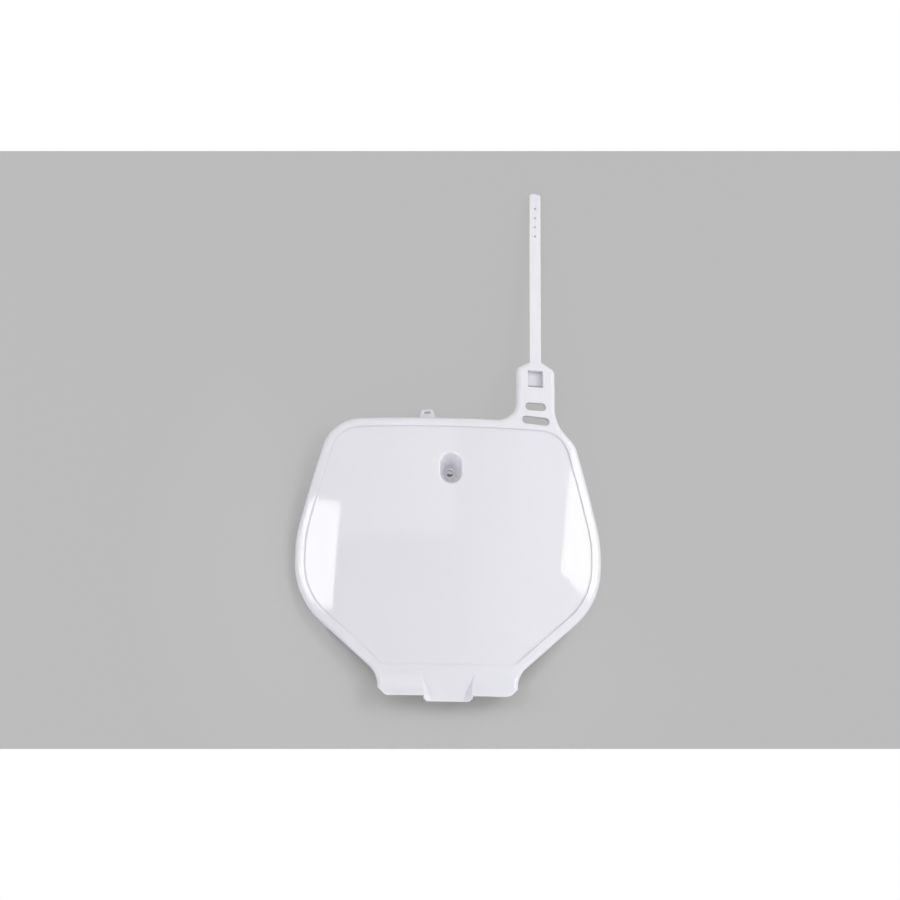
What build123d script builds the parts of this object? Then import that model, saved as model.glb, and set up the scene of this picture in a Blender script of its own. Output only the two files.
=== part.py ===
from build123d import *

import os
from math import asin, atan, cos, degrees, radians, sin, tan

# Racing number board for the front of an off-road motorbike, moulded in one piece.
# Millimetres. X runs across the board, Y up it towards the strap, Z out of its face.
# The origin is on the bolt axis, where the back of the bolt seat meets its bracket.
# The board lies face up on the back edge of its rim.

# Sheet, border and rim
wall = 2.5
border_width = 7.5
roll_radius = 3.8
rim_depth = 13.0
side_rim_depth = 8.5

# Number panel, sunk below the border and nearly level with it again at its lower end
panel_depth = 1.2
panel_end_depth = 0.45
panel_ramp = 10.0
panel_bottom_y = -153.0
panel_corner_radius = 9.0
panel_edge_chamfer = 0.4

# Front face, a barrel that bends back to both sides and a little to top and bottom
face_radius = 400.0
crown_radius = 1500.0

# Outline, as corner points with the length of edge that each rounding takes up either side
top_edge = 41.4
top_width = 189.4
top_corner_bend = 22.5
knee_y = -8.5
knee_width = 218.0
knee_bend = 20.1
hip_width = 240.2
hip_top_y = -53.4
hip_top_bend = 12.3
hip_bottom_y = -100.5
hip_bottom_bend = 27.8
neck_width = 108.0
neck_top_y = -160.0
neck_bend = 9.0
bottom_edge = -177.0
bottom_corner = 6.5
bottom_left_radius = 3.0
bottom_right_radius = 10.0

# Lower flange, which flares forward either side of the tongue
flare_start_y = -155.0
flare_radius = 45.0
flare_angle = 25.0
flange_depth = 6.0

# Tongue, and the channel with sloping walls that runs out along it where the flange rises
tongue_width = 37.2
tongue_length = 4.0
tongue_chamfer = 2.0
tongue_thickness = 3.0
channel_lift = 0.25
channel_top_y = -158.0
channel_top_width = 44.0
channel_floor_width = 26.4
channel_wall_angle = 46.0

# Bolt recess
seat_thickness = 3.0
seat_width = 8.6
seat_height = 9.6
bolt_hole_diameter = 5.5
recess_depth = 18.0
recess_width = 17.4
recess_height = 25.0
recess_edge_chamfer = 0.7

# Strap base, which grows out of the top edge
strap_inset = 27.5
base_width = 31.8
base_shoulder_y = 85.5
base_top_y = 92.5
base_corner_bend = 3.2
base_depth = 5.0
base_left_bend = 16.0
base_right_bend = 12.8
shoulder_angle = 45.0
shoulder_y = 24.6
shoulder_bend = 5.1

# Slots, keeper window and keeper bar in the strap base
slot_width = 6.6
lower_slot_y = 41.9
lower_slot_length = 22.6
lower_slot_tilt = -2.5
upper_slot_y = 53.6
upper_slot_length = 17.2
upper_slot_tilt = 1.0
window_y = 77.2
window_width = 12.8
window_height = 14.5
window_corner_radius = 1.0
keeper_rise = 1.6
keeper_height = 12.5
keeper_thickness = 2.0
keeper_clearance = 0.5
keeper_foot = 4.0

# Strap tail
tail_width = 9.2
tail_thickness = 2.0
tail_root_thickness = 4.5
tail_taper_length = 18.0
tail_inset = 0.15
tail_radius = 2200.0
tail_middle_drift = 0.4
tail_tip_drift = 1.4
tail_tip_y = 242.7
tail_tip_radius = 3.0
tail_hole_diameter = 1.9
tail_hole_pitch = 8.6
tail_hole_count = 4
tail_first_hole = 13.9

# Cable eye on the top rim
eye_x = -18.5
eye_lean = 42.0
eye_length = 17.5
eye_root_width = 13.7
eye_top_width = 9.2
eye_corner_radius = 3.0
eye_thickness = 2.5
eye_hole_diameter = 5.5
eye_hole_margin = 2.0

# Levels and construction sizes that follow from the values above
recess_rim_z = seat_thickness + recess_depth
crest_z = recess_rim_z + panel_depth
sheet_depth = panel_depth + wall
sheet_middle_z = recess_rim_z - wall / 2
hip_sag = face_radius - (face_radius**2 - (hip_width / 2) ** 2) ** 0.5
floor_z = crest_z - hip_sag - side_rim_depth
strap_x = top_width / 2 - strap_inset
overrun = 25.0
half_span = hip_width / 2 + overrun
core_depth = 3 * overrun
beyond_top = base_top_y + overrun
beyond_bottom = bottom_edge - overrun

# Limits for telling faces and edges apart
front_facing = 0.6
upright = 0.05
touching = 0.01

crown_axis = Axis((0, 0, crest_z - crown_radius), (1, 0, 0))


def across_plane(y):
    """Plane across the board through the crown's axis, with its y measured from that axis."""
    turn = asin(y / crown_radius)
    return Plane(origin=crown_axis.position, x_dir=(1, 0, 0), z_dir=(0, -cos(turn), sin(turn)))


def across_height(x, depth):
    """Distance of the face from the crown's axis, depth behind the border."""
    return crown_radius - face_radius + ((face_radius - depth) ** 2 - x**2) ** 0.5


def face_z(x, y, depth):
    """Height of the face at a place on the board, depth behind the border."""
    return crown_axis.position.Z + (across_height(x, depth) ** 2 - y**2) ** 0.5


def section(depth):
    """Lines round the section across the board of all that lies under a face."""
    side = across_height(half_span, depth)
    core = crown_radius - core_depth
    ThreePointArc((-half_span, side), (0, crown_radius - depth), (half_span, side))
    Polyline((half_span, side), (half_span, core), (-half_span, core), (-half_span, side))


def barrel(depth, low_y=beyond_bottom, high_y=beyond_top):
    """Solid under a face that keeps its depth behind the border from one height to another."""
    with BuildPart() as layer:
        with BuildSketch(across_plane(high_y)):
            with BuildLine():
                section(depth)
            make_face()
        turn = asin(high_y / crown_radius) - asin(low_y / crown_radius)
        revolve(axis=crown_axis, revolution_arc=degrees(turn))
    return layer.part


def slope(low, high):
    """Solid under a face that changes its depth between two heights, each with its depth."""
    with BuildPart() as layer:
        for y, depth in (low, high):
            with BuildSketch(across_plane(y)):
                with BuildLine():
                    section(depth)
                make_face()
        loft(ruled=True)
    return layer.part


def flared_barrel(depth):
    """Solid under the whole face, with the lower flange that bends forward."""
    flare_plane = across_plane(flare_start_y)
    flare_center = flare_plane.from_local_coords((0, crown_radius + flare_radius, 0))
    with BuildPart() as layer:
        add(barrel(depth, flare_start_y))
        with BuildSketch(flare_plane):
            with BuildLine():
                section(depth)
            make_face()
        revolve(axis=Axis(flare_center, (-1, 0, 0)), revolution_arc=flare_angle)
        extrude(layer.faces().filter_by(GeomType.PLANE).sort_by(Axis.Y)[0], amount=overrun)
    return layer.part


def panel_floor():
    """Solid under the sunk panel, which climbs towards the flange."""
    foot = (panel_bottom_y + panel_ramp, panel_depth)
    head = (panel_bottom_y - panel_ramp, 2 * panel_end_depth - panel_depth)
    with BuildPart() as layer:
        add(barrel(panel_depth, foot[0]))
        add(slope(head, foot))
    return layer.part


def rim_back():
    """Everything behind the back edge of the rim, which is shallow at the strap and the flange."""
    shallow_y = top_edge + 2 * wall + base_depth
    flare_rise = (flare_start_y - bottom_edge) * tan(radians(flare_angle / 2))
    climb = (rim_depth + flare_rise - flange_depth) / (hip_bottom_y - bottom_edge)
    end_depth = rim_depth - climb * (hip_bottom_y - beyond_bottom)
    with BuildPart() as back:
        add(barrel(base_depth, shallow_y))
        add(slope((top_edge, rim_depth), (shallow_y, base_depth)))
        add(barrel(rim_depth, hip_bottom_y, top_edge))
        add(slope((beyond_bottom, end_depth), (hip_bottom_y, rim_depth)))
    return back.part


def rounded_outline(corners):
    """Closed outline through corner points, each with the bend of its rounding."""
    points = [Vector(x, y) for x, y, _ in corners]
    radii = []
    for index, (_, _, bend) in enumerate(corners):
        before = points[index] - points[index - 1]
        after = points[(index + 1) % len(points)] - points[index]
        radii.append(bend / tan(radians(before.get_angle(after)) / 2))
    with BuildSketch() as shape:
        with BuildLine():
            FilletPolyline(*points, radius=radii, close=True)
        make_face()
    return shape.sketch


def front_rim(solid):
    """Edges where the front faces meet the upright walls, without the open lower end."""
    front_faces = solid.faces().filter_by(lambda face: face.normal_at().Z > front_facing)
    walls = solid.faces().filter_by(lambda face: abs(face.normal_at().Z) < upright)
    walls = walls.filter_by(lambda face: face.center().Y > bottom_edge or abs(face.center().X) > wall)
    wall_edges = walls.edges()
    return front_faces.edges().filter_by(lambda edge: any(edge.is_same(other) for other in wall_edges))


# Outlines: the board by itself, and the board with the strap's base
half_outline = [
    (top_width / 2, top_edge, top_corner_bend),
    (knee_width / 2, knee_y, knee_bend),
    (hip_width / 2, hip_top_y, hip_top_bend),
    (hip_width / 2, hip_bottom_y, hip_bottom_bend),
    (neck_width / 2, neck_top_y, neck_bend),
    (neck_width / 2, beyond_bottom, 0),
]
left_outline = [(-x, y, bend) for x, y, bend in reversed(half_outline)]
side_slope = (knee_width - top_width) / 2 / (top_edge - knee_y)
shoulder_x = top_width / 2 + (top_edge - shoulder_y) * side_slope
base_left = strap_x - base_width / 2
base_right = strap_x + base_width / 2
base_foot_y = shoulder_y + (shoulder_x - base_right) / tan(radians(shoulder_angle))
base_outline = [
    (base_left, top_edge, base_left_bend),
    (base_left, base_shoulder_y, base_corner_bend),
    (strap_x - tail_width / 2, base_top_y, base_corner_bend),
    (strap_x + tail_width / 2, base_top_y, base_corner_bend),
    (base_right, base_shoulder_y, base_corner_bend),
    (base_right, base_foot_y, base_right_bend),
    (shoulder_x, shoulder_y, shoulder_bend),
]
board_outline = rounded_outline(half_outline + left_outline)
full_outline = rounded_outline(base_outline + half_outline[1:] + left_outline)

# Hollow behind the face
with BuildPart() as hollow:
    with BuildSketch(Plane.XY.offset(floor_z - overrun)):
        add(full_outline)
        offset(amount=-wall, mode=Mode.REPLACE)
    extrude(amount=crest_z - floor_z + 3 * overrun)
    add(flared_barrel(sheet_depth), mode=Mode.INTERSECT)

# Room in front of the number panel
with BuildPart() as panel_pocket:
    with BuildSketch() as panel:
        add(board_outline)
        offset(amount=-border_width, mode=Mode.REPLACE)
        with Locations((0, panel_bottom_y)):
            Rectangle(hip_width, hip_width, align=(Align.CENTER, Align.MAX), mode=Mode.SUBTRACT)
        fillet(panel.vertices().group_by(Axis.Y)[0], panel_corner_radius)
    extrude(amount=crest_z + overrun)
    add(panel_floor(), mode=Mode.SUBTRACT)
panel_wire = panel.sketch.face().outer_wire()


def panel_rim(solid):
    """Edges where the border drops to the panel."""

    def on_rim(edge):
        middle = edge @ 0.5
        along = panel_wire.distance_to(Vertex(middle.X, middle.Y, 0)) < touching
        return along and middle.Z > face_z(middle.X, middle.Y, panel_end_depth / 3)

    return solid.edges().filter_by(on_rim)


# Room in front of the tongue, wide where it leaves the flange and narrow at its end
channel_flank = tan(radians(channel_wall_angle))
with BuildPart() as channel:
    for y, width in ((channel_top_y, channel_top_width), (bottom_edge, channel_floor_width)):
        foot = (0, y, face_z(0, y, -channel_lift))
        with BuildSketch(Plane(origin=foot, x_dir=(1, 0, 0), z_dir=(0, -1, 0))):
            narrow = width / 2 - wall * channel_flank
            broad = width / 2 + overrun * channel_flank
            Polygon((-narrow, -wall), (narrow, -wall), (broad, overrun), (-broad, overrun), align=None)
    loft()
    extrude(channel.faces().sort_by(Axis.Y)[0], amount=overrun)
    add(barrel(-channel_lift), mode=Mode.SUBTRACT)

# Sheet of the tongue, with the walls that join it to the flange
with BuildPart() as tongue:
    with BuildSketch(Plane.XY.offset(floor_z)):
        with Locations((0, flare_start_y)):
            Rectangle(tongue_width + 2 * wall, 2 * overrun, align=(Align.CENTER, Align.MAX))
    extrude(amount=crest_z - floor_z + overrun)
    add(flared_barrel(wall / 2), mode=Mode.INTERSECT)
    add(barrel(tongue_thickness - channel_lift), mode=Mode.SUBTRACT)

# What is trimmed away below the flange and round the end of the tongue
trim_reach = neck_width / 2 + overrun
trim_corner_x = neck_width / 2 - bottom_corner
trim_corner_y = bottom_edge + trim_reach - trim_corner_x
half_tongue = tongue_width / 2
tongue_end = bottom_edge - tongue_length
with BuildPart() as lower_trim:
    with BuildSketch(Plane.XY.offset(floor_z - overrun)):
        with BuildLine():
            FilletPolyline(
                (-trim_reach, beyond_bottom - overrun),
                (-trim_reach, trim_corner_y),
                (-trim_corner_x, bottom_edge),
                (trim_corner_x, bottom_edge),
                (trim_reach, trim_corner_y),
                (trim_reach, beyond_bottom - overrun),
                radius=[0, 0, bottom_left_radius, bottom_right_radius, 0, 0],
                close=True,
            )
        make_face()
        with BuildLine():
            Polyline(
                (-half_tongue, bottom_edge + overrun),
                (-half_tongue, tongue_end + tongue_chamfer),
                (-half_tongue + tongue_chamfer, tongue_end),
                (half_tongue - tongue_chamfer, tongue_end),
                (half_tongue, tongue_end + tongue_chamfer),
                (half_tongue, bottom_edge + overrun),
                close=True,
            )
        make_face(mode=Mode.SUBTRACT)
    extrude(amount=crest_z - floor_z + 3 * overrun)


# Cup of the bolt recess, and the boss behind it that tapers like the cup's sides
boss_taper = degrees(atan((recess_width - seat_width) / 2 / recess_depth))
with BuildPart() as cup:
    with BuildSketch(Plane.XY.offset(seat_thickness)):
        SlotOverall(seat_height, seat_width, rotation=90)
    with BuildSketch(Plane.XY.offset(recess_rim_z)):
        SlotOverall(recess_height, recess_width, rotation=90)
    loft()
    extrude(cup.faces().sort_by(Axis.Z)[-1], amount=panel_depth)
with BuildPart() as boss:
    with BuildSketch(Plane.XY.offset(sheet_middle_z)):
        SlotOverall(recess_height + 2 * wall, recess_width + 2 * wall, rotation=90)
    extrude(amount=-sheet_middle_z, taper=boss_taper)


def recess_rim(solid):
    """Edges round the opening of the bolt recess."""

    def on_rim(edge):
        middle = edge @ 0.5
        near = Vector(middle.X, middle.Y).length < recess_height / 2 + wall
        return near and middle.Z > sheet_middle_z

    return solid.edges().filter_by(on_rim)


def strap_plane(y):
    """Plane that touches the face on the strap's centre line: x across the strap, y along it."""
    lean = asin(strap_x / face_radius)
    across = across_plane(y)
    return Plane(
        origin=across.from_local_coords((strap_x, across_height(strap_x, 0), 0)),
        x_dir=across.x_dir * cos(lean) - across.y_dir * sin(lean),
        z_dir=across.x_dir * sin(lean) + across.y_dir * cos(lean),
    )


# Keeper bridge behind the window, with room for the tail between it and the sheet
keeper_depth = sheet_depth + tail_thickness + keeper_clearance
with BuildPart() as tail_passage:
    with BuildSketch(Plane.XY.offset(floor_z)):
        with Locations((strap_x, window_y)):
            Rectangle(window_width, 2 * keeper_height)
    extrude(amount=crest_z - floor_z)
    add(barrel(keeper_depth), mode=Mode.SUBTRACT)
with BuildPart() as keeper:
    with BuildSketch(Plane.XY.offset(floor_z)):
        with Locations((strap_x, window_y + keeper_rise)):
            Rectangle(window_width + 2 * keeper_foot, keeper_height)
    extrude(amount=crest_z - floor_z)
    add(barrel(sheet_depth - wall / 2), mode=Mode.INTERSECT)
    add(barrel(keeper_depth + keeper_thickness), mode=Mode.SUBTRACT)
    add(tail_passage.part, mode=Mode.SUBTRACT)

# Strap tail, a strip that leaves the face and bends gently back
tail_root = strap_plane(base_shoulder_y)
tail_turn = (tail_tip_y - base_shoulder_y + overrun) / tail_radius
tail_taper_turn = (base_top_y - base_shoulder_y + tail_taper_length) / tail_radius


def tail_point(turn, depth):
    """Point of the tail's section, turn along its bend and depth behind its front."""
    radius = tail_radius - depth
    return Vector(radius * sin(turn), radius * cos(turn) - tail_radius - tail_inset)


def tail_line(side):
    """Line along the tail as seen from the front, side to the right of its middle."""
    return ThreePointArc(
        (strap_x + side, base_shoulder_y),
        (strap_x + tail_middle_drift + side, (base_shoulder_y + tail_tip_y) / 2),
        (strap_x + tail_tip_drift + side, tail_tip_y),
        mode=Mode.PRIVATE,
    )


with BuildPart() as tail:
    with BuildSketch(Plane(origin=tail_root.origin, x_dir=tail_root.y_dir, z_dir=tail_root.x_dir)):
        with BuildLine():
            ThreePointArc(tail_point(0, 0), tail_point(tail_turn / 2, 0), tail_point(tail_turn, 0))
            Line(tail_point(tail_turn, 0), tail_point(tail_turn, tail_thickness))
            ThreePointArc(
                tail_point(tail_turn, tail_thickness),
                tail_point((tail_turn + tail_taper_turn) / 2, tail_thickness),
                tail_point(tail_taper_turn, tail_thickness),
            )
            Polyline(
                tail_point(tail_taper_turn, tail_thickness),
                tail_point(0, tail_root_thickness),
                tail_point(0, 0),
            )
        make_face()
    extrude(amount=2 * tail_width, both=True)
    with BuildSketch(Plane.XY.offset(floor_z)) as tail_plan:
        with BuildLine():
            left = tail_line(-tail_width / 2)
            right = tail_line(tail_width / 2)
            add([left, right])
            Line(left @ 0, right @ 0)
            Line(left @ 1, right @ 1)
        make_face()
        fillet(tail_plan.vertices().group_by(Axis.Y)[-1], tail_tip_radius)
        for hole in range(tail_hole_count):
            from_tip = tail_first_hole + hole * tail_hole_pitch
            with Locations(tail_line(0) @ (1 - from_tip / tail_line(0).length)):
                Circle(tail_hole_diameter / 2, mode=Mode.SUBTRACT)
    extrude(amount=crest_z - floor_z, mode=Mode.INTERSECT)

# Cable eye, a holed lug that leans back from the back edge of the top rim
eye_plane = Plane(
    origin=(eye_x, top_edge - wall / 2, face_z(eye_x, top_edge, rim_depth - eye_thickness / 2)),
    x_dir=(1, 0, 0),
    z_dir=(0, sin(radians(eye_lean)), cos(radians(eye_lean))),
)
with BuildPart() as eye:
    with BuildSketch(eye_plane):
        with BuildLine():
            FilletPolyline(
                (-eye_root_width / 2, 0),
                (eye_root_width / 2, 0),
                (eye_top_width / 2, eye_length),
                (-eye_top_width / 2, eye_length),
                radius=[0, 0, eye_corner_radius, eye_corner_radius],
                close=True,
            )
        make_face()
        with Locations((0, eye_length - eye_hole_margin - eye_hole_diameter / 2)):
            Circle(eye_hole_diameter / 2, mode=Mode.SUBTRACT)
    extrude(amount=eye_thickness / 2, both=True)

# Holes through the strap's base
strap_slots = [
    (lower_slot_y, lower_slot_length, lower_slot_tilt),
    (upper_slot_y, upper_slot_length, upper_slot_tilt),
]
with BuildPart() as strap_holes:
    for y, length, tilt in strap_slots:
        with BuildSketch(strap_plane(y)):
            SlotOverall(length, slot_width, rotation=tilt)
        extrude(amount=2 * sheet_depth, both=True)
    with BuildSketch(strap_plane(window_y)):
        RectangleRounded(window_width, window_height, window_corner_radius)
    extrude(amount=2 * sheet_depth, both=True)

# The whole moulding. The holes in the strap's base lie past the seam of the curved faces,
# so the solid is put in order after they are cut.
with BuildPart() as number_board:
    with BuildSketch(Plane.XY.offset(floor_z)):
        add(full_outline)
    extrude(amount=crest_z - floor_z + overrun)
    add(flared_barrel(0), mode=Mode.INTERSECT)
    fillet(front_rim(number_board), roll_radius)
    add(panel_pocket.part, mode=Mode.SUBTRACT)
    chamfer(panel_rim(number_board), panel_edge_chamfer)
    add(hollow.part, mode=Mode.SUBTRACT)
    add(rim_back(), mode=Mode.SUBTRACT)
    add(tongue.part)
    add(channel.part, mode=Mode.SUBTRACT)
    add(lower_trim.part, mode=Mode.SUBTRACT)
    add(boss.part)
    add(cup.part, mode=Mode.SUBTRACT)
    chamfer(recess_rim(number_board), recess_edge_chamfer)
    with Locations((0, 0, 0)):
        Cylinder(bolt_hole_diameter / 2, 4 * seat_thickness, mode=Mode.SUBTRACT)
    add(strap_holes.part, mode=Mode.SUBTRACT)
    add(number_board.part.fix(), mode=Mode.REPLACE)
    add(keeper.part)
    add(tail.part)
    add(eye.part)

number_board.part.label = "number_board"
os.makedirs("parts", exist_ok=True)
export_step(number_board.part, "parts/number_board.step")
print("volume", round(number_board.part.volume), "solids", len(number_board.part.solids()))
print(number_board.part.bounding_box(), "floor", floor_z)
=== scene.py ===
from math import cos, pi, radians, sin

import bpy
from mathutils import Matrix, Vector


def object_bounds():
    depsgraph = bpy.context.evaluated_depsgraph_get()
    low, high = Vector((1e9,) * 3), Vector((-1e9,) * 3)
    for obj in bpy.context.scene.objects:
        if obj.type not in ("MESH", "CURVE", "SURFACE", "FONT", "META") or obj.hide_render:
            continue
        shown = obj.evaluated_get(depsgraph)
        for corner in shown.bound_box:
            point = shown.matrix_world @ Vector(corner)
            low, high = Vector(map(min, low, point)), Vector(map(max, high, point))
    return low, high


# Racing number board, lying face up on a grey card. Metres, in the frame of the solids.
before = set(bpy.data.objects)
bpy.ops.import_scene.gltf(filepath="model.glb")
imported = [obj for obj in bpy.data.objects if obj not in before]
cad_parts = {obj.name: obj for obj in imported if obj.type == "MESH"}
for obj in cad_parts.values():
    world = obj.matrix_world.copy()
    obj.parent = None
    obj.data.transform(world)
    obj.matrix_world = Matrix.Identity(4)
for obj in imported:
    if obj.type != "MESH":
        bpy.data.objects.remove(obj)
cad_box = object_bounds()

# Photograph's frame in pixels: the card's edges, how far it runs past both sides, and the bolt hole
IMAGE_SIZE = 900
CARD_TOP_PX = 151.0
CARD_BOTTOM_PX = 749.0
CARD_SIDE_PX = 420.0
HOLE_PX = (449.8, 473.5)

# Camera: its angles to the left of the bolt's axis and below it, its own turn, and its distance
CAMERA_LEFT = radians(3.0)
CAMERA_BELOW = radians(15.0)
CAMERA_TURN = radians(-0.65)
CAMERA_DISTANCE = 1.375
SENSOR_MM = 36.0
FOCAL_PX = 1732.0

# Point at the front of the bolt hole that falls on the hole's pixel
HOLE_POINT = Vector((0.0, 0.0, 0.003))

# Colours as they render in plain light
PLASTIC_COLOR = (0.790, 0.785, 0.830, 1.0)
CARD_COLOR = (0.500, 0.500, 0.500, 1.0)
SURROUND_COLOR = (0.900, 0.900, 0.900, 1.0)
WHITE = (1.0, 1.0, 1.0, 1.0)

# Plastic: its gloss, the faint clouds in its polish, and how far light spreads inside it
PLASTIC_IOR = 1.49
ROUGHNESS_MIN = 0.03
ROUGHNESS_MAX = 0.07
CLOUD_SCALE = 24.0
CLOUD_DETAIL = 3.0
SCATTER_WEIGHT = 1.0
SCATTER_RADIUS = (1.0, 1.0, 1.0)
SCATTER_DEPTH = 0.003

# Rounding of edges in the shading: in general, and in bands that hold the step round the panel
BEVEL_SAMPLES = 12
EDGE_RADIUS = 0.0005
STEP_RADIUS = 0.0020
TOP_STEP_RADIUS = 0.0030
BAND_END = 0.0015
SOFT_BANDS = (
    ("X", -0.125, -0.083, STEP_RADIUS),
    ("X", 0.083, 0.125, STEP_RADIUS),
    ("Y", 0.018, 0.0365, TOP_STEP_RADIUS),
    ("Y", -0.1555, -0.140, STEP_RADIUS),
)

# Face's normal: its bend times the place, plus the way out
FACE_BEND = (2.5, 0.667, 0.0)
FACE_OUT = (0.0, 0.0, 1.0)

# Step's normals are turned to the face's: fully so from this lean inwards on, and less on the left
INWARD_LEAN = -0.004
STEP_CALM_LEFT = 0.75
STEP_CALM_RIGHT = 1.0
STEP_CALM_SPAN = 0.08

# Places of a mix node's sockets when it takes vectors
MIX_FIRST = 4
MIX_SECOND = 5
MIX_RESULT = 1

# Sky, where 1 shows a white sheet as white: its level at left and right, and where it changes
SKY_LEFT = 0.22
SKY_RIGHT = 0.96
SKY_START = 0.05
SKY_END = 0.50

# Lamps: name, place, point faced, width, height, turn in degrees, share of plain light added
LAMPS = (
    ("right_lamp", (1.330, 0.307, 1.20), (1.330, 0.307, 0.0), 0.85, 0.75, -15.0, 0.122),
    ("left_lamp", (-0.815, 0.103, 1.20), (-0.815, 0.103, 0.0), 0.30, 0.305, -8.5, 0.060),
    ("side_lamp", (-1.50, 0.20, 0.90), (0.0, 0.0, 0.0), 1.00, 0.80, 0.0, 0.06),
    ("wide_glow", (-0.350, 0.435, 1.20), (-0.350, 0.435, 0.0), 0.90, 0.63, 0.0, 0.066),
    ("middle_glow", (-0.375, 0.475, 1.20), (-0.375, 0.475, 0.0), 0.75, 0.55, 0.0, 0.046),
    ("narrow_glow", (-0.400, 0.515, 1.20), (-0.400, 0.515, 0.0), 0.60, 0.47, 0.0, 0.030),
    ("front_lamp", (-0.20, -0.62, 1.90), (0.0, 0.0, 0.0), 0.50, 0.40, 0.0, 0.17),
    ("fill_lamp", (-0.90, -1.30, 0.90), (0.0, 0.0, 0.0), 1.20, 0.80, 0.0, 0.09),
)

# Card under the board and the surround that it lies on, both without gloss
MATT_ROUGHNESS = 1.0
MATT_GLOSS = 0.0
CARD_THICKNESS = 0.0004
SURROUND_SIZE = 6.0
SQUARE_FACE = [(0, 1, 2, 3)]

# Share of a sheet that glows with a steady colour which shadows don't darken. On the card this glow is
# painted light over the board's shadow: it grows towards the upper right
CARD_PAINTED_LIGHT_LEAST = 0.0
CARD_PAINTED_LIGHT_MOST = 0.85
STEADY_ALL = 1.0
STEADY_START = -0.10
STEADY_END = 0.0
STEADY_WAY = (0.5, 0.866, 0.0)

# The painted light also grows away from the board's middle, and is left out in a round patch under the
# bolt hole, where the card keeps its rendered shade
BOARD_MIDDLE = (0.0, -0.07, 0.0)
SHADOW_NEAR = 0.15
SHADOW_FAR = 0.25
HOLE_SHADE_Y = -0.0052
HOLE_SHADE_NEAR = 0.0062
HOLE_SHADE_FAR = 0.0072


def camera_axes():
    """Directions to the right of the picture, up it and out of it towards the camera."""
    right = Vector((cos(CAMERA_LEFT), 0.0, sin(CAMERA_LEFT)))
    up = Vector(
        (
            -sin(CAMERA_LEFT) * sin(CAMERA_BELOW),
            cos(CAMERA_BELOW),
            cos(CAMERA_LEFT) * sin(CAMERA_BELOW),
        )
    )
    toward = right.cross(up)
    turned_right = right * cos(CAMERA_TURN) - up * sin(CAMERA_TURN)
    turned_up = right * sin(CAMERA_TURN) + up * cos(CAMERA_TURN)
    return turned_right, turned_up, toward


RIGHT, UP, TOWARD = camera_axes()


def camera_place():
    """Where the camera stands so that the bolt hole falls on its pixel."""
    depth = CAMERA_DISTANCE - HOLE_POINT.dot(TOWARD)
    aim_x = HOLE_POINT.dot(RIGHT) - (HOLE_PX[0] - IMAGE_SIZE / 2) * depth / FOCAL_PX
    aim_y = HOLE_POINT.dot(UP) + (HOLE_PX[1] - IMAGE_SIZE / 2) * depth / FOCAL_PX
    return RIGHT * aim_x + UP * aim_y + TOWARD * CAMERA_DISTANCE


CAMERA_PLACE = camera_place()


def add_camera():
    """Camera at the photograph's viewing angle."""
    data = bpy.data.cameras.new("camera")
    data.sensor_width = SENSOR_MM
    data.lens = FOCAL_PX * SENSOR_MM / IMAGE_SIZE
    camera = bpy.data.objects.new("camera", data)
    bpy.context.scene.collection.objects.link(camera)
    axes = Matrix((RIGHT, UP, TOWARD)).transposed().to_4x4()
    camera.matrix_world = Matrix.Translation(CAMERA_PLACE) @ axes
    bpy.context.scene.camera = camera


def floor_point(x_px, y_px, z):
    """Point at height z that falls on a pixel of the photograph."""
    half = IMAGE_SIZE / 2
    ray = RIGHT * (x_px - half) - UP * (y_px - half) - TOWARD * FOCAL_PX
    return CAMERA_PLACE + ray * ((z - CAMERA_PLACE.z) / ray.z)


def add_mesh(name, points, faces, material):
    """Mesh object from points and faces."""
    mesh = bpy.data.meshes.new(name)
    mesh.from_pydata([tuple(point) for point in points], [], faces)
    mesh.materials.append(material)
    piece = bpy.data.objects.new(name, mesh)
    bpy.context.scene.collection.objects.link(piece)
    return piece


def new_material(name):
    """New material with its node tree and its shader."""
    material = bpy.data.materials.new(name)
    material.use_nodes = True
    tree = material.node_tree
    return material, tree, tree.nodes["Principled BSDF"]


def feed(tree, source, socket):
    """Join another socket to a socket, or set it to a fixed value."""
    if isinstance(source, bpy.types.NodeSocket):
        tree.links.new(source, socket)
    else:
        socket.default_value = source


def number_node(tree, operation, first, second):
    """Socket with the result of an operation on two numbers."""
    node = tree.nodes.new("ShaderNodeMath")
    node.operation = operation
    feed(tree, first, node.inputs[0])
    feed(tree, second, node.inputs[1])
    return node.outputs["Value"]


def vector_node(tree, operation, first, second=None, result="Vector"):
    """Socket with the result of an operation on one or two vectors."""
    node = tree.nodes.new("ShaderNodeVectorMath")
    node.operation = operation
    feed(tree, first, node.inputs[0])
    if second is not None:
        feed(tree, second, node.inputs[1])
    return node.outputs[result]


def ramp_node(tree, value, start, end, low=0.0, high=1.0, curve="LINEAR"):
    """Socket that goes from low to high while a value goes from start to end."""
    node = tree.nodes.new("ShaderNodeMapRange")
    node.interpolation_type = curve
    feed(tree, value, node.inputs["Value"])
    feed(tree, start, node.inputs["From Min"])
    feed(tree, end, node.inputs["From Max"])
    feed(tree, low, node.inputs["To Min"])
    feed(tree, high, node.inputs["To Max"])
    return node.outputs["Result"]


def split_node(tree, vector):
    """Sockets X, Y and Z of a vector."""
    node = tree.nodes.new("ShaderNodeSeparateXYZ")
    tree.links.new(vector, node.inputs["Vector"])
    return node.outputs


def object_place(tree):
    """Socket with the place in the object's own frame."""
    return tree.nodes.new("ShaderNodeTexCoord").outputs["Object"]


def band(tree, value, low, high):
    """Socket that is 1 where a value lies between two limits, with soft ends outside them."""
    above = ramp_node(tree, value, low - BAND_END, low)
    below = ramp_node(tree, value, high + BAND_END, high)
    return number_node(tree, "MULTIPLY", above, below)


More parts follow.
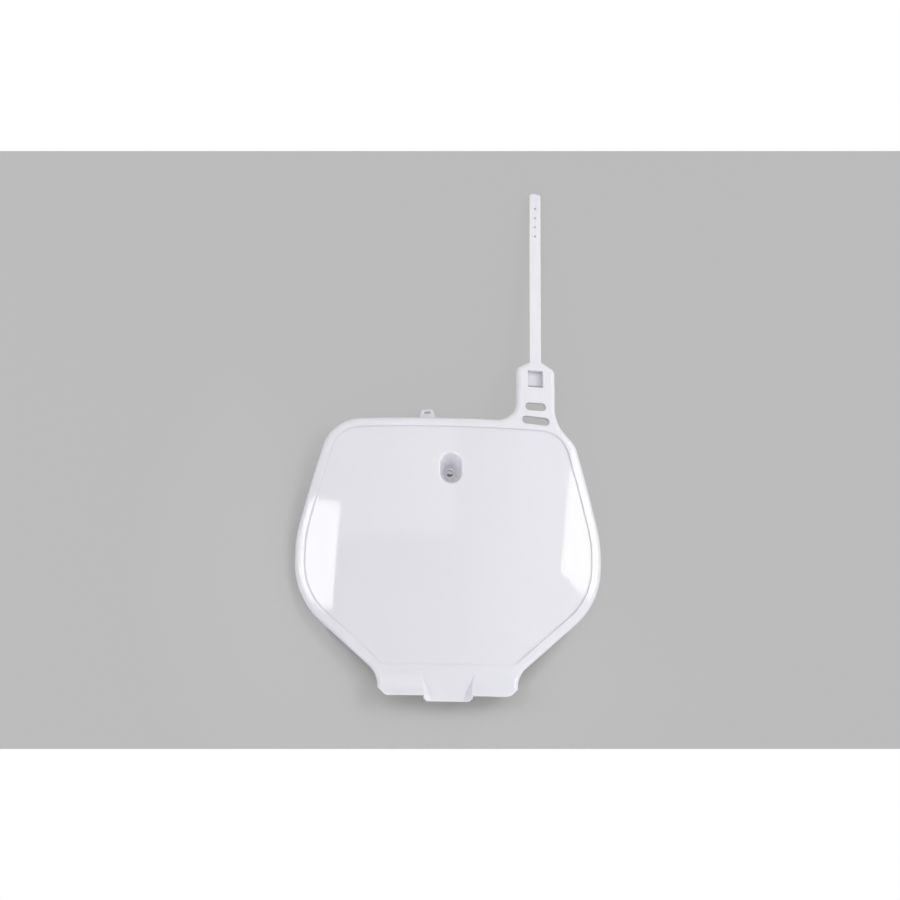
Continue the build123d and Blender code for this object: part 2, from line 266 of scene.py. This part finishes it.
def calm_step(tree, place, across, radius, normal):
    """Normals of the step, where they lean inwards, turned to those of the face, most on the right."""
    bent = vector_node(tree, "MULTIPLY", place, FACE_BEND)
    face = vector_node(tree, "ADD", bent, FACE_OUT)
    lean = vector_node(tree, "SUBTRACT", normal, face)
    inward = vector_node(tree, "DOT_PRODUCT", lean, place, "Value")
    calm = ramp_node(tree, across, -STEP_CALM_SPAN, STEP_CALM_SPAN, STEP_CALM_LEFT, STEP_CALM_RIGHT)
    leaning = ramp_node(tree, inward, 0.0, INWARD_LEAN, 0.0, calm)
    near_step = ramp_node(tree, radius, EDGE_RADIUS, STEP_RADIUS)
    share = number_node(tree, "MULTIPLY", leaning, near_step)
    turned = tree.nodes.new("ShaderNodeMix")
    turned.data_type = "VECTOR"
    tree.links.new(share, turned.inputs["Factor"])
    tree.links.new(normal, turned.inputs[MIX_FIRST])
    tree.links.new(face, turned.inputs[MIX_SECOND])
    return vector_node(tree, "NORMALIZE", turned.outputs[MIX_RESULT])


def edge_rounding(tree, place):
    """Normals that round the edges: slightly in general, and more at the step round the panel."""
    axes = split_node(tree, place)
    radius = EDGE_RADIUS
    for axis, low, high, soft_radius in SOFT_BANDS:
        inside = band(tree, axes[axis], low, high)
        soft = number_node(tree, "MULTIPLY", inside, soft_radius)
        radius = number_node(tree, "MAXIMUM", radius, soft)
    edge = tree.nodes.new("ShaderNodeBevel")
    edge.samples = BEVEL_SAMPLES
    tree.links.new(radius, edge.inputs["Radius"])
    return calm_step(tree, place, axes["X"], radius, edge.outputs["Normal"])


def plastic_material():
    """Glossy white moulded plastic with softened edges and a faintly uneven polish."""
    material, tree, shader = new_material("white_plastic_finish")
    shader.inputs["Base Color"].default_value = PLASTIC_COLOR
    shader.inputs["IOR"].default_value = PLASTIC_IOR
    shader.inputs["Subsurface Weight"].default_value = SCATTER_WEIGHT
    shader.inputs["Subsurface Radius"].default_value = SCATTER_RADIUS
    shader.inputs["Subsurface Scale"].default_value = SCATTER_DEPTH
    place = object_place(tree)
    cloud = tree.nodes.new("ShaderNodeTexNoise")
    cloud.inputs["Scale"].default_value = CLOUD_SCALE
    cloud.inputs["Detail"].default_value = CLOUD_DETAIL
    tree.links.new(place, cloud.inputs["Vector"])
    polish = ramp_node(tree, cloud.outputs["Fac"], 0.0, 1.0, ROUGHNESS_MIN, ROUGHNESS_MAX)
    tree.links.new(polish, shader.inputs["Roughness"])
    tree.links.new(edge_rounding(tree, place), shader.inputs["Normal"])
    return material


def steady_share(tree, least, most):
    """Socket with the share of a sheet that glows steadily and that shadows don't darken: on the card,
    where painted light covers the board's shadow.
    """
    place = object_place(tree)
    along = vector_node(tree, "DOT_PRODUCT", place, STEADY_WAY, "Value")
    upper_right = ramp_node(tree, along, STEADY_START, STEADY_END, least, most)
    gap = vector_node(tree, "DISTANCE", place, BOARD_MIDDLE, "Value")
    far_off = ramp_node(tree, gap, SHADOW_NEAR, SHADOW_FAR, 0.0, most)
    larger = number_node(tree, "MAXIMUM", far_off, upper_right)
    patch_middle = (0.0, HOLE_SHADE_Y, cad_box[0].z)
    from_patch = vector_node(tree, "DISTANCE", place, patch_middle, "Value")
    outside = ramp_node(tree, from_patch, HOLE_SHADE_NEAR, HOLE_SHADE_FAR)
    return number_node(tree, "MULTIPLY", larger, outside)


def backdrop_material(name, color, seen_color, least, most):
    """Matt sheet, part of which glows with a steady colour to the camera and in reflections; on the
    card this glow is painted light over the board's shadow.
    """
    material, tree, shader = new_material(name)
    shader.inputs["Base Color"].default_value = color
    shader.inputs["Roughness"].default_value = MATT_ROUGHNESS
    shader.inputs["Specular IOR Level"].default_value = MATT_GLOSS
    # Steady glow: painted light where the card lies in the board's shadow, and the plain white of the
    # surround
    glow = tree.nodes.new("ShaderNodeEmission")
    glow.inputs["Color"].default_value = seen_color
    path = tree.nodes.new("ShaderNodeLightPath").outputs
    seen = number_node(tree, "MAXIMUM", path["Is Camera Ray"], path["Is Glossy Ray"])
    share = number_node(tree, "MULTIPLY", seen, steady_share(tree, least, most))
    mix = tree.nodes.new("ShaderNodeMixShader")
    tree.links.new(share, mix.inputs["Fac"])
    tree.links.new(shader.outputs["BSDF"], mix.inputs[1])
    tree.links.new(glow.outputs["Emission"], mix.inputs[2])
    tree.links.new(mix.outputs["Shader"], tree.nodes["Material Output"].inputs["Surface"])
    return material


def add_floor():
    """Grey card under the board, and the white surround that it lies on."""
    level = cad_box[0].z
    left = -CARD_SIDE_PX
    right = IMAGE_SIZE + CARD_SIDE_PX
    corners = [
        floor_point(left, CARD_BOTTOM_PX, level),
        floor_point(right, CARD_BOTTOM_PX, level),
        floor_point(right, CARD_TOP_PX, level),
        floor_point(left, CARD_TOP_PX, level),
    ]
    # The card's glow is painted light that hides the board's shadow, except near the board's lower
    # left and under the bolt hole
    finish = backdrop_material("card_grey", CARD_COLOR, CARD_COLOR, CARD_PAINTED_LIGHT_LEAST, CARD_PAINTED_LIGHT_MOST)
    card = add_mesh("card", corners, SQUARE_FACE, finish)
    reach = SURROUND_SIZE / 2
    low = level - CARD_THICKNESS
    corners = [
        (-reach, -reach, low),
        (reach, -reach, low),
        (reach, reach, low),
        (-reach, reach, low),
    ]
    finish = backdrop_material("surround_white", SURROUND_COLOR, WHITE, STEADY_ALL, STEADY_ALL)
    surround = add_mesh("surround", corners, SQUARE_FACE, finish)


def add_lamp(name, place, target, width, height, turn, share):
    """Flat lamp that faces a target and adds a share of plain light to the table under the board."""
    place = Vector(place)
    facing = (Vector(target) - place).normalized()
    reach = place.length
    slant = facing.dot(-place) / reach
    spread = width * height * slant * place.z / reach**3
    data = bpy.data.lights.new(name, "AREA")
    data.shape = "RECTANGLE"
    data.size = width
    data.size_y = height
    # Power at which a white sheet there is lit to that share of white
    data.energy = share * pi**2 * width * height / spread
    lamp = bpy.data.objects.new(name, data)
    bpy.context.scene.collection.objects.link(lamp)
    aim = facing.to_track_quat("-Z", "Y").to_matrix().to_4x4()
    lamp.matrix_world = Matrix.Translation(place) @ aim @ Matrix.Rotation(radians(turn), 4, "Z")


def add_light():
    """Sky that is brighter on the right, lamps that the plastic mirrors and lamps that fill."""
    world = bpy.data.worlds.new("world")
    world.use_nodes = True
    tree = world.node_tree
    background = tree.nodes["Background"]
    background.inputs["Color"].default_value = WHITE
    way = tree.nodes.new("ShaderNodeTexCoord").outputs["Generated"]
    across = split_node(tree, way)["X"]
    level = ramp_node(tree, across, SKY_START, SKY_END, SKY_LEFT, SKY_RIGHT, "SMOOTHSTEP")
    tree.links.new(level, background.inputs["Strength"])
    bpy.context.scene.world = world
    for lamp in LAMPS:
        add_lamp(*lamp)


add_camera()
add_floor()
add_light()
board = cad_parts["number_board"]
board.material_slots[0].material = plastic_material()
bpy.context.scene.view_settings.view_transform = "Standard"
